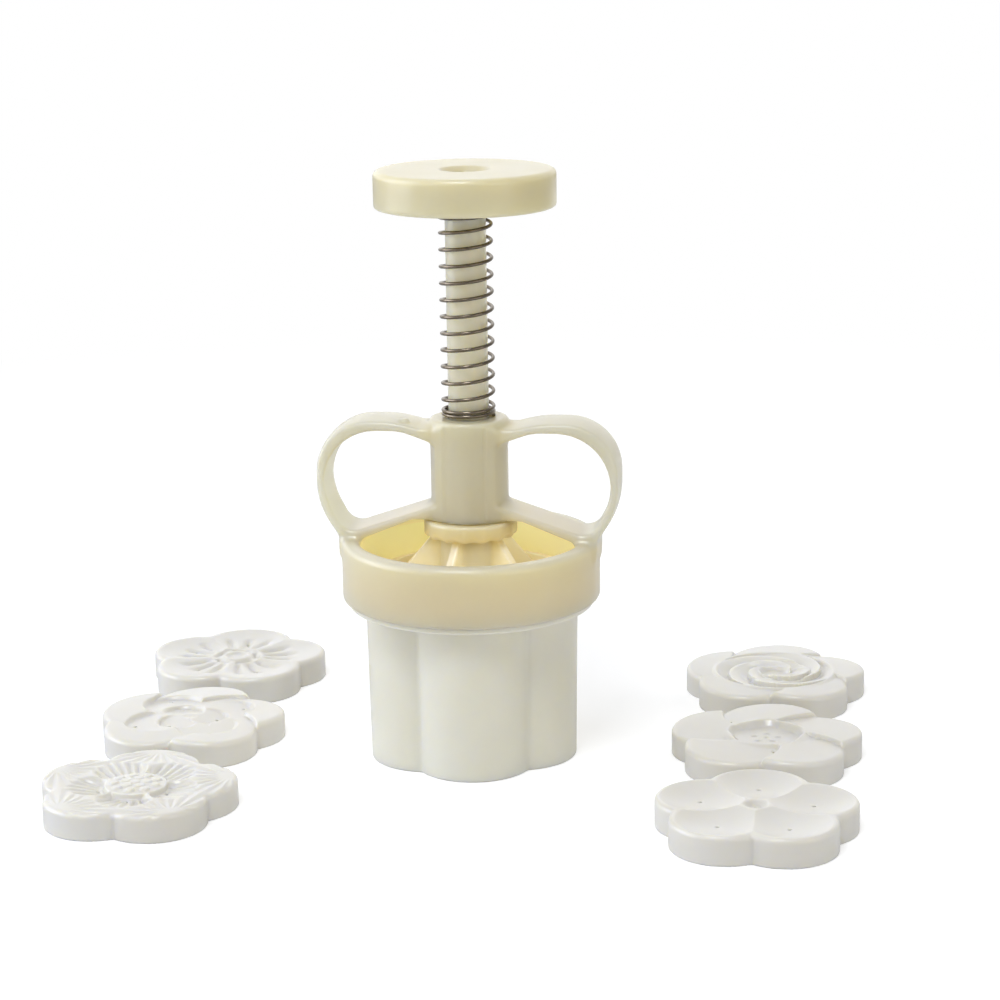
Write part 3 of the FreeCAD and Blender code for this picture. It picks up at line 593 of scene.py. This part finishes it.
def drawn_steel():
    """Bright drawn wire: fine streaks along it and a warm, slightly dull skin."""
    material, add = new_material("drawn_steel")
    place = add("TexCoord").outputs["Object"]
    streaks = add("TexNoise", Vector=place, Scale=900, Detail=3)
    tint = add(
        "Mix",
        {"data_type": "RGBA"},
        i0=streaks.outputs["Fac"],
        i6=(0.09, 0.072, 0.052, 1),
        i7=(0.26, 0.22, 0.17, 1),
    )
    dull = add("MapRange", Value=streaks.outputs["Fac"], To_Min=0.16, To_Max=0.26)
    bump = add("Bump", Height=streaks.outputs["Fac"], Strength=0.15, Distance=0.00003)
    body = add(
        "BsdfPrincipled",
        Base_Color=tint.outputs[2],
        Metallic=1.0,
        Roughness=dull.outputs[0],
        Normal=bump.outputs[0],
    )
    add("OutputMaterial", Surface=body.outputs[0])
    return material


def make_spring():
    low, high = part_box("return_spring")
    steel = drawn_steel()
    coil = bpy.data.objects.new("spring_wire", bpy.data.meshes.new("spring_wire"))
    bpy.context.scene.collection.objects.link(coil)
    nodes = coil.modifiers.new("coil", "NODES")
    nodes.node_group = spring_tree(steel)
    sockets = {item.name: item.identifier for item in nodes.node_group.interface.items_tree}
    nodes[sockets["Free Length"]] = high.z - low.z
    nodes[sockets["Seat Height"]] = low.z
    made = bpy.data.meshes.new_from_object(coil.evaluated_get(bpy.context.evaluated_depsgraph_get()))
    coil.modifiers.remove(nodes)
    coil.data = made
    made.shade_smooth()
    made.set_sharp_from_angle(angle=math.radians(50))
    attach(coil, "press_body")
    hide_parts("return_spring")
    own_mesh(coil)


make_spring()

# Plunger rod ----------------------------------------------------------------------------------
# A solid ivory rod, moulded in two halves of a tool, with a pilot hole for a screw in each end.


def make_rod():
    low, high = (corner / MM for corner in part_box("plunger_rod"))
    radius, pilot, deep = high.x, 1.75, 12
    block = Block(low, high, step=0.34)
    shape = block.turned(
        [
            (0, low.z + deep),
            (pilot, low.z + deep),
            (pilot, low.z),
            (radius, low.z, 0.35),
            (radius, high.z, 0.35),
            (pilot, high.z),
            (pilot, high.z - deep),
            (0, high.z - deep),
        ]
    )
    plastic = moulded_plastic(
        "rod_plastic", (0.81, 0.775, 0.605), (0.78, 0.725, 0.53), roughness=0.28, depth=0.006
    )
    rod = finished(block.cast("rod_moulding", shape), "rod_moulding", plastic, sharp=50)
    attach(rod, "plunger")
    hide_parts("plunger_rod")


make_rod()

# Press head -----------------------------------------------------------------------------------
# The plunger's foot, in a yellower plastic: a petal plate that runs in the barrel, a hub braced by
# five gussets, the scalloped flange that stops under the guide tube, and the stamps' peg.


def ring_of_lobes(x, y, count, first, distance, radius, fillet):
    """Distance to round lobes set about the axis, their valleys softened."""
    shape = None
    for i in range(count):
        turn = first + 2 * math.pi * i / count
        lobe = np.hypot(x - distance * math.cos(turn), y - distance * math.sin(turn)) - radius
        shape = lobe if shape is None else melt(shape, lobe, fillet)
    return shape


def make_press_head():
    low, high = (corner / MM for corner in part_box("press_head"))
    plate_low, plate_high, plate_lobe = low.z + 4.6, low.z + 7.6, 13.35
    flange_low, flange_lobes, flange_lobe, flange_distance = high.z - 4.6, 15, 4, 8.3
    hub, gusset_turn, gusset_half, gusset_reach = 7.9, math.radians(13), 1.1, 21
    peg, rod_socket, rod_seat = 4.75, 5.35, low.z + 8.6
    screw_hole, screw_recess, screw_seat = 1.76, 3.2, low.z + 6.6
    block = Block(low, high, step=0.36)
    x, y, z = block.x, block.y, block.z
    petals = ring_of_lobes(x, y, PETALS, FRONT_PETAL, PETAL_DISTANCE, plate_lobe, 1)
    plate = thick(petals, z - (plate_low + plate_high) / 2, (plate_high - plate_low) / 2, 0.45)
    scallops = ring_of_lobes(x, y, flange_lobes, -math.pi / 2, flange_distance, flange_lobe, 1.5)
    valley = 0.5 - 0.5 * np.cos(flange_lobes * (np.arctan2(y, x) + math.pi / 2))
    flange_half = (high.z - flange_low) / 2
    flange = thick(scallops, z - high.z + flange_half, flange_half, 0.5)
    underside = thick(scallops, z - high.z - 0.2 * valley, 2 * flange_half - 0.2 * valley, 1.2)
    flange = np.maximum(flange, underside)
    stem = block.turned([(0, plate_low), (hub, plate_low), (hub, flange_low + 1), (0, flange_low + 1)])
    shape = melt(melt(plate, stem, 1.6), flange, 0.8)
    web = rounded(
        [
            (0, plate_low + 1),
            (gusset_reach, plate_low + 1),
            (gusset_reach, plate_high + 1.2, 0.5),
            (hub + 1.6, flange_low + 0.5),
            (0, flange_low + 0.5),
        ]
    )
    for i in range(PETALS):
        turn = FRONT_PETAL + (i + 0.5) * STEP + gusset_turn
        out = x * math.cos(turn) + y * math.sin(turn)
        aside = y * math.cos(turn) - x * math.sin(turn)
        radii = np.arange(out.min(), out.max() + 0.2, 0.2)
        section = outline_distance(web, radii[:, None], z[0])
        side = np.stack([np.interp(out[:, :, 0], radii, column) for column in section.T], axis=2)
        shape = melt(shape, thick(side, aside, gusset_half, 0.35), 1.1)
    pin = block.turned([(0, low.z), (peg, low.z, 0.5), (peg, plate_low + 1), (0, plate_low + 1)])
    shape = melt(shape, pin, 0.6)
    shape = cut(shape, np.maximum(block.reach - rod_socket, rod_seat - z), 0.4)
    shape = cut(shape, np.maximum(block.reach - screw_recess, z - screw_seat), 0.3)
    shape = cut(shape, block.reach - screw_hole + 0 * z, 0.2)
    plastic = moulded_plastic(
        "amber_plastic",
        (0.75, 0.64, 0.41),
        (0.73, 0.61, 0.34),
        roughness=0.28,
        depth=0.012,
        # painted glow: the hub and gussets inside the well are tinted and emit light, standing in for light
        # that comes through the walls
        painted_glow_well=(0.0295, 0.0435, 0.059, (0.84, 0.75, 0.52)),
    )
    head = finished(block.cast("head_moulding", shape), "head_moulding", plastic, sharp=50)
    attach(head, "plunger")
    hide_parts("press_head")


make_press_head()

# Knob -----------------------------------------------------------------------------------------
# The palm button: a hollow ivory shell with a socket for the rod, eight ribs under its top and a
# round recess that sinks the screw's head.


def make_knob():
    low, high = (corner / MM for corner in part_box("knob"))
    radius, wall, socket, recess, screw_hole = high.x, 2.2, 5.35, 5, 1.76
    boss, ceiling, recess_floor = socket + 4.15, high.z - wall, high.z - 3.6
    rod_seat = ceiling - 2.6
    block = Block(low, high, step=0.36)
    shape = block.turned(
        [
            (0, rod_seat),
            (socket, rod_seat),
            (socket, low.z, 0.4),
            (boss, low.z, 0.6),
            (boss, ceiling, 1),
            (radius - wall, ceiling, 1.2),
            (radius - wall, low.z, 0.6),
            (radius, low.z, 0.8),
            (radius, high.z, 1.5),
            (recess + 1.6, high.z, 0.8),
            (recess, high.z - 1.3, 0.8),
            (recess, recess_floor, 0.5),
            (0, recess_floor),
        ]
    )
    ribs_across, rib_half, rib_half_height = 4, 0.8, 2.5
    rib_middle, rib_half_length = (boss + radius - wall) / 2, (radius - wall - boss) / 2 + 0.8
    for i in range(ribs_across):
        turn = math.pi * i / ribs_across
        aside = np.abs(block.y * math.cos(turn) - block.x * math.sin(turn))
        rib = np.maximum(aside - rib_half, np.abs(block.z - ceiling + rib_half_height) - rib_half_height)
        rib = np.maximum(rib, np.abs(block.reach - rib_middle) - rib_half_length)
        shape = melt(shape, rib, 0.8)
    shape = cut(shape, block.reach - screw_hole + 0 * block.z, 0.2)
    plastic = moulded_plastic(
        "knob_plastic", (0.66, 0.585, 0.40), (0.63, 0.545, 0.34), roughness=0.28, depth=0.012
    )
    knob = finished(block.cast("knob_moulding", shape), "knob_moulding", plastic, sharp=50)
    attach(knob, "plunger")
    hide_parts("knob")


make_knob()

# Rod screws -----------------------------------------------------------------------------------
# Two plated pan-head screws with a cross recess: one down through the knob, one up through the peg.


def plated_steel():
    """Zinc-plated steel, faintly clouded."""
    material, add = new_material("plated_steel")
    cloud = add("TexNoise", Vector=add("TexCoord").outputs["Object"], Scale=700, Detail=2)
    tint = add(
        "Mix",
        {"data_type": "RGBA"},
        i0=cloud.outputs["Fac"],
        i6=(0.52, 0.53, 0.54, 1),
        i7=(0.66, 0.66, 0.63, 1),
    )
    dull = add("MapRange", Value=cloud.outputs["Fac"], To_Min=0.25, To_Max=0.42)
    body = add("BsdfPrincipled", Base_Color=tint.outputs[2], Metallic=1.0, Roughness=dull.outputs[0])
    add("OutputMaterial", Surface=body.outputs[0])
    return material


def make_screws():
    low, high = (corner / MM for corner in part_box("rod_screws"))
    radius, shank, length, head_height = high.x, 1.7, 12, 2.3
    thread_pitch, thread_deep = 1.1, 0.42
    recess_half, recess_reach, recess_taper, recess_deep = 0.38, 1.75, 0.55, 1.5
    steel = plated_steel()
    for name, top, way in (("knob_screw_steel", high.z, 1), ("head_screw_steel", low.z, -1)):
        seat, tip = top - way * head_height, top - way * (head_height + length)
        block = Block((-radius, -radius, min(top, tip)), (radius, radius, max(top, tip)), step=0.13)
        head = block.turned([(0, seat), (radius, seat, 0.25), (radius, top, 1.1), (0, top)])
        spiral = (block.z / thread_pitch - np.arctan2(block.y, block.x) / (2 * math.pi)) % 1
        ridge = thread_deep * np.abs(2 * spiral - 1)
        core = np.maximum(block.reach - shank + ridge, np.abs(block.z - (seat + tip) / 2) - length / 2)
        point = (block.reach - 0.4) * 0.7 - np.abs(block.z - tip) * 0.5
        shape = melt(head, np.maximum(core, point), 0.2)
        deep = (top - block.z) * way
        arm_end = recess_reach - recess_taper * deep
        cross = np.minimum(
            np.maximum(np.abs(block.x) - recess_half, np.abs(block.y) - arm_end),
            np.maximum(np.abs(block.y) - recess_half, np.abs(block.x) - arm_end),
        )
        shape = cut(shape, np.maximum(cross, deep - recess_deep), 0.12)
        screw = finished(block.cast(name, shape), name, steel, sharp=40)
        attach(screw, "plunger")
        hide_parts("rod_screws")


make_screws()

# Stamps ---------------------------------------------------------------------------------------
# Six loose petal stamps of white plastic. Each presses its own flower into the cake's top: a
# carved face on a thin skirt, pierced by vents, with a socket behind for the plunger's peg.

STAMP_LOBE = 13.35
TIP = PETAL_DISTANCE + STAMP_LOBE


def smooth_step(value, low, high):
    share = np.clip((value - low) / (high - low), 0, 1)
    return share * share * (3 - 2 * share)


def bearing_off(bearing, first, count):
    """Angle, in degrees, from the nearest of some evenly spaced bearings."""
    gap = 360 / count
    return (bearing - first + gap / 2) % gap - gap / 2


def polar_spots(count, first, distance):
    """The bearing and place of some evenly spaced spots about the middle."""
    for i in range(count):
        turn = math.radians(first + 360 * i / count)
        yield turn, distance * math.cos(turn), distance * math.sin(turn)


def bowls(x, y, count, first, distance, radius, depth):
    """The floor of round bowls set about the middle."""
    floor = np.zeros_like(x)
    for _, middle_x, middle_y in polar_spots(count, first, distance):
        off = np.hypot(x - middle_x, y - middle_y) / radius
        floor = np.minimum(floor, -depth * np.clip(1 - off**2, 0, None))
    return floor


def overlapping(reach, bearing, count, first, edge, twist, depth):
    """Petals that overlap like a pinwheel: each starts low under its neighbour and rises."""
    border = first + twist * (edge - reach)
    share = ((border - bearing) / (360 / count)) % 1
    return -depth * (1 - share) ** 1.6 * smooth_step(share, 0, 0.03)


def blossom_face(x, y, reach, bearing):
    """Five bowls with three rays each, round a sunk eye with a raised ring and five dents."""
    off = bearing_off(bearing, 90, 5)
    face = bowls(x, y, 5, 90, 13.4, 10.6, 1.1)
    for turn in (-21, 0, 21):
        aside = reach * np.radians(off - turn) / (0.45 + 0.055 * reach)
        run = smooth_step(reach, 6.6, 10) * (1 - smooth_step(reach, 14, 18.5))
        face = face - 0.85 * run * np.exp(-(aside**2))
    middle = 1 - smooth_step(reach, 6.4, 7.6)
    ring = 0.55 * np.exp(-(((reach - 3.6) / 0.95) ** 2))
    dents = 0.8 * np.exp(-(((reach - 5.6) / 0.8) ** 2)) * (1 - smooth_step(np.abs(off), 17, 31))
    return face * (1 - middle) + middle * (-0.95 + ring - dents)


def swirl_face(x, y, reach, bearing):
    """Overlapping petals round two rings of tilted bowls that wind into the middle."""
    face = overlapping(reach, bearing, 5, 54, 21.2, 4.2, 1.1)
    for count, first, distance, radius, floor in ((4, 40, 10.2, 8.7, 1.9), (3, 5, 4.6, 6.1, 2.5)):
        for turn, middle_x, middle_y in polar_spots(count, first, distance):
            dx, dy = x - middle_x, y - middle_y
            out = (dx * math.cos(turn) + dy * math.sin(turn)) / radius
            aside = (dy * math.cos(turn) - dx * math.sin(turn)) / radius
            inside = 1 - smooth_step(np.hypot(dx, dy), radius - 1.3, radius)
            low = -floor * (0.52 + 0.4 * out - 0.16 * aside)
            face = np.minimum(face, low * inside + (1 - inside) * face)
    return face + (-1.15 - face) * (1 - smooth_step(reach, 0.4, 2.8))


def lotus_face(x, y, reach, bearing):
    """Fans of fine lines between five grooved petals, round a seed pod."""
    off = bearing_off(bearing, 54, 5)
    along = np.radians(bearing_off(bearing, 90, 5))
    aside, inward = reach * np.sin(along), TIP - 1.5 - reach * np.cos(along)
    tip = np.hypot(inward, aside)
    fan = np.degrees(np.arctan2(aside, inward))
    lines = 0.16 * (1 - np.cos(np.radians(fan * 360 / 17))) * smooth_step(tip, 1.5, 6)
    face = -0.35 - lines * smooth_step(reach, 14, 17)
    edge = np.hypot(reach * np.cos(np.radians(off)) - 11.4, 0.9 * reach * np.sin(np.radians(off)))
    inside = 1 - smooth_step(edge, 4.6, 6.8)
    fall = 1 - smooth_step(reach, 8.2, 18)
    grooves = 0.26 * (1 - np.cos(np.radians(off * 360 / 9.5))) * smooth_step(reach, 8, 10)
    face = face * (1 - inside) + inside * (-0.35 - 1.6 * fall - grooves)
    disc = 1 - smooth_step(reach, 7.7, 8.3)
    pod = -0.25 - 0.35 * smooth_step(reach, 2, 7.6)
    for radius, count, first in ((0.0, 1, 0), (2.9, 5, 90), (5.6, 9, 70)):
        for _, seed_x, seed_y in polar_spots(count, first, radius):
            off_seed = np.hypot(x - seed_x, y - seed_y) / 1.3
            pod = pod + 0.6 * np.sqrt(np.clip(1 - off_seed**2, 0, None))
    return face * (1 - disc) + disc * np.minimum(pod, 0)


def rose_face(x, y, reach, bearing):
    """Three rings of overlapping petals, the inner two wound the other way, round a pocket."""
    rim, heart, core = 16.6, 10.4, 4.9
    outer = overlapping(reach, bearing, 5, 54, 21.2, 3.2, 0.85) * smooth_step(reach, rim, rim + 1.2)
    middle = overlapping(reach, bearing, 4, 69, rim, -16, 2.0)
    inner = overlapping(reach, bearing, 3, 13, heart, -20, 1.8)
    for _, dome_x, dome_y in polar_spots(3, 22, 7.2):
        inner = inner + 0.5 * np.exp(-((np.hypot(x - dome_x, y - dome_y) / 1.2) ** 2))
    pocket = -1.5 * (1 - smooth_step(reach, 2.8, core))
    for side in (-0.9, 0.9):
        pocket = pocket + 0.4 * np.exp(-((np.hypot(x - side, y) / 0.5) ** 2))
    face = middle + (inner - middle) * (1 - smooth_step(reach, heart - 0.9, heart))
    face = face + (pocket - face) * (1 - smooth_step(reach, core - 0.8, core))
    return np.minimum(face + (outer - face) * smooth_step(reach, rim - 0.9, rim), 0)


def pinwheel_face(x, y, reach, bearing):
    """Five overlapping petals round a sunken star with six dimples."""
    face = overlapping(reach, bearing, 5, 54, 21.2, 2.2, 1.15) * smooth_step(reach, 9.5, 12)
    star = ring_of_lobes(x, y, 5, math.pi / 2, 4.4, 5.9, 1.6)
    floor = -1.75 * (1 - smooth_step(star, -1.7, 0.2))
    dimples = bowls(x, y, 5, 90, 3.3, 0.95, 0.35) + bowls(x, y, 1, 0, 0, 0.95, 0.35)
    return np.minimum(face, floor) + dimples


def plain_face(x, y, reach, bearing):
    """Five plain bowls round a dimple with a nub."""
    face = bowls(x, y, 5, 90, 14.2, 10.7, 1.9)
    dimple = -1.25 * (1 - smooth_step(reach, 1.2, 3.4))
    nub = 0.5 * np.exp(-((np.hypot(x, y) / 0.6) ** 2))
    return np.minimum(face, dimple) + nub


# Each stamp's face, and its rings of vents as (distance, first bearing, count).
STAMPS = {
    "blossom_stamp": (blossom_face, [(14.2, 90, 5)]),
    "swirl_stamp": (swirl_face, [(15.5, 33.5, 4), (7.7, 358, 3)]),
    "lotus_stamp": (lotus_face, [(9.3, 54, 5)]),
    "rose_stamp": (rose_face, [(12.4, 73, 4)]),
    "pinwheel_stamp": (pinwheel_face, [(13.5, 353, 5)]),
    "plain_stamp": (plain_face, [(14.7, 90, 5)]),
}


def make_stamp(name, face, vents, plastic):
    low, high = (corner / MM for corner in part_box(name))
    middle = np.array([(low.x + high.x) / 2, high.y - TIP, low.z])
    wall, ceiling, boss, socket, socket_deep, vent = 1.6, high.z - 3.6, 6.7, 4.8, 5.0, 0.5
    block = Block(low - Vector(middle), high - Vector(middle), step=0.3)
    x, y, z = block.x, block.y, block.z
    flat_x, flat_y = np.broadcast_arrays(x[:, :, 0], y[:, :, 0])
    reach = np.hypot(flat_x, flat_y)
    bearing = np.degrees(np.arctan2(flat_y, flat_x))
    carved = face(flat_x, flat_y, reach, bearing)
    slope = np.hypot(*np.gradient(carved, block.step))
    top = (z - high.z - carved[:, :, None]) / np.sqrt(1 + slope**2)[:, :, None]
    petals = ring_of_lobes(x, y, PETALS, math.pi / 2, PETAL_DISTANCE, STAMP_LOBE, 0.8)
    shape = cut(np.maximum(petals, -z), -top, 1.5)
    hollow = np.maximum(np.maximum(petals + wall, boss - block.reach), z - ceiling)
    shape = cut(shape, hollow, 0.5)
    shape = cut(shape, np.maximum(block.reach - socket, z - socket_deep), 0.3)
    for distance, first, count in vents:
        for _, vent_x, vent_y in polar_spots(count, first, distance):
            shape = cut(shape, np.hypot(x - vent_x, y - vent_y) - vent + 0 * z, 0.12)
    mesh = block.cast(name, shape)
    mesh.transform(Matrix.Translation(Vector(middle) * MM))
    stamp = finished(mesh, name + "_moulding", plastic, sharp=60)
    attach(stamp, name)
    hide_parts(name)


stamp_plastic = moulded_plastic(
    "stamp_plastic", (0.75, 0.735, 0.69), (0.72, 0.69, 0.625), roughness=0.28, depth=0.0014
)
for name, (face, vents) in STAMPS.items():
    make_stamp(name, face, vents, stamp_plastic)
